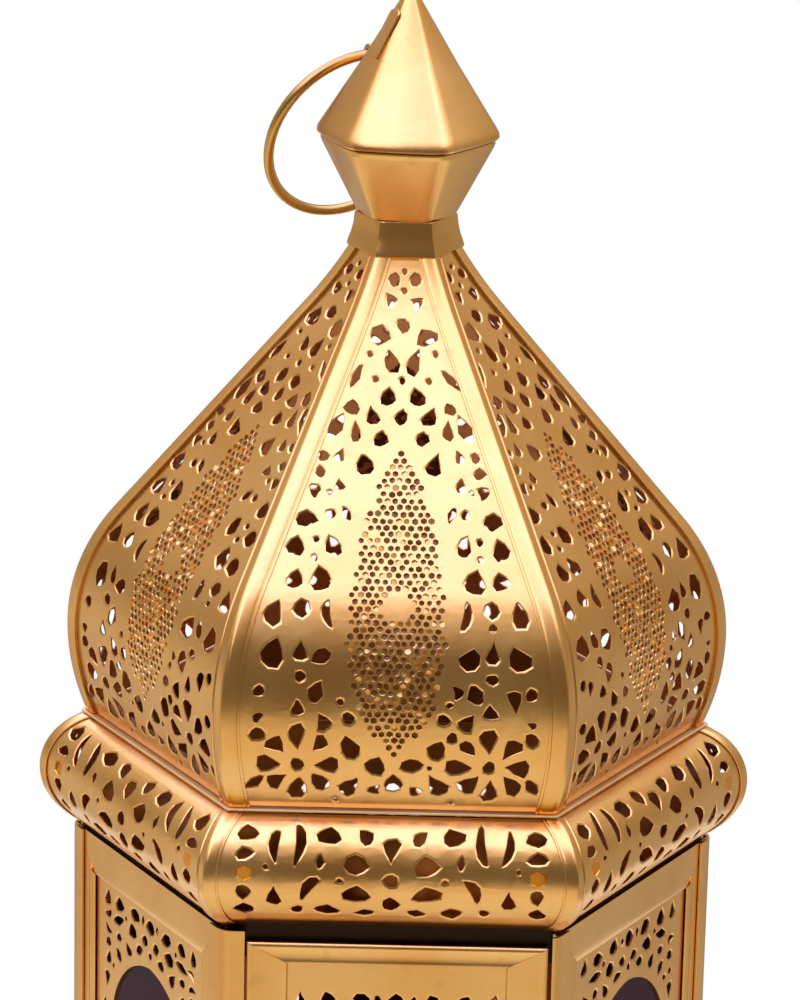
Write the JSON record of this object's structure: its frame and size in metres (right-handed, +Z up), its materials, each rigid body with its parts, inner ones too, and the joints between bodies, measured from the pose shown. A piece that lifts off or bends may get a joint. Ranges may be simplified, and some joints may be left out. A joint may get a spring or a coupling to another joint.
{
  "type": "ramadan fanous lantern",
  "caption": "Hexagonal brass candle lantern with a pierced onion dome, half-round cornice, arched glass walls, a hinged door with a hook latch and a swinging hanging ring.",
  "frame": {"origin": "centre of the lantern's axis in the plane that the base stands on", "axes": "+Z up along the axis to the finial, -Y out of the door's flat, +X to the right as seen from the door"},
  "size_m": [0.2108, 0.1826, 0.5],
  "materials": {
    "pierced_brass": "satin polished sheet",
    "plain_brass": "satin polished sheet",
    "wire_brass": "drawn, slightly aged",
    "violet_glass": "smooth, dark tint"
  },
  "bodies": {
    "lantern": {"base_flange": "plain_brass", "base_roll": "pierced_brass", "body_top_rail": "plain_brass", "candle_cup": "plain_brass", "corner_post_1": "plain_brass", "corner_post_2": "plain_brass", "corner_post_3": "plain_brass", "corner_post_4": "plain_brass", "corner_post_5": "plain_brass", "corner_post_6": "plain_brass", "cornice_flange": "plain_brass", "cornice_liner": "plain_brass", "cornice_rolls": "pierced_brass", "dome_gore_1": "pierced_brass", "dome_gore_2": "pierced_brass", "dome_gore_3": "pierced_brass", "dome_gore_4": "pierced_brass", "dome_gore_5": "pierced_brass", "dome_gore_6": "pierced_brass", "dome_ledge": "plain_brass", "dome_rib_1": "plain_brass", "dome_rib_2": "plain_brass", "dome_rib_3": "plain_brass", "dome_rib_4": "plain_brass", "dome_rib_5": "plain_brass", "dome_rib_6": "plain_brass", "drip_pan": "plain_brass", "finial_lower": "plain_brass", "finial_upper": "plain_brass", "floor_plate": "plain_brass", "glass_clips": "wire_brass", "hanging_eye": "wire_brass", "hinge_post_leaves": "wire_brass", "latch_keeper": "wire_brass", "neck_collar": "plain_brass", "side_frame_1": "plain_brass", "side_frame_2": "plain_brass", "side_frame_3": "plain_brass", "side_frame_4": "plain_brass", "side_frame_5": "plain_brass", "side_glass_1": "violet_glass", "side_glass_2": "violet_glass", "side_glass_3": "violet_glass", "side_glass_4": "violet_glass", "side_glass_5": "violet_glass", "side_panel_1": "pierced_brass", "side_panel_2": "pierced_brass", "side_panel_3": "pierced_brass", "side_panel_4": "pierced_brass", "side_panel_5": "pierced_brass", "sill_rail": "plain_brass"},
    "door": {"door_frame": "plain_brass", "door_panel": "pierced_brass", "door_glass": "violet_glass", "hinge_door_leaves": "wire_brass", "latch_pivot": "wire_brass"},
    "latch": {"latch_hook": "wire_brass"},
    "ring": {"hanging_ring": "wire_brass"}
  },
  "joints": [
    {"name": "door_swing", "type": "hinge", "parent": "lantern", "child": "door", "pos_m": [-0.04063, -0.08475, 0.145], "axis": [0, 0, -1], "range_deg": [0, 110]},
    {"name": "latch_swing", "type": "hinge", "parent": "door", "child": "latch", "pos_m": [0.03653, -0.0835, 0.14], "axis": [0, 1, 0], "range_deg": [0, 270]},
    {"name": "ring_swing", "type": "hinge", "parent": "lantern", "child": "ring", "pos_m": [-0.01151, 0.01993, 0.47572], "axis": [0.866, 0.5, 0], "range_deg": [-18, 140]}
  ]
}
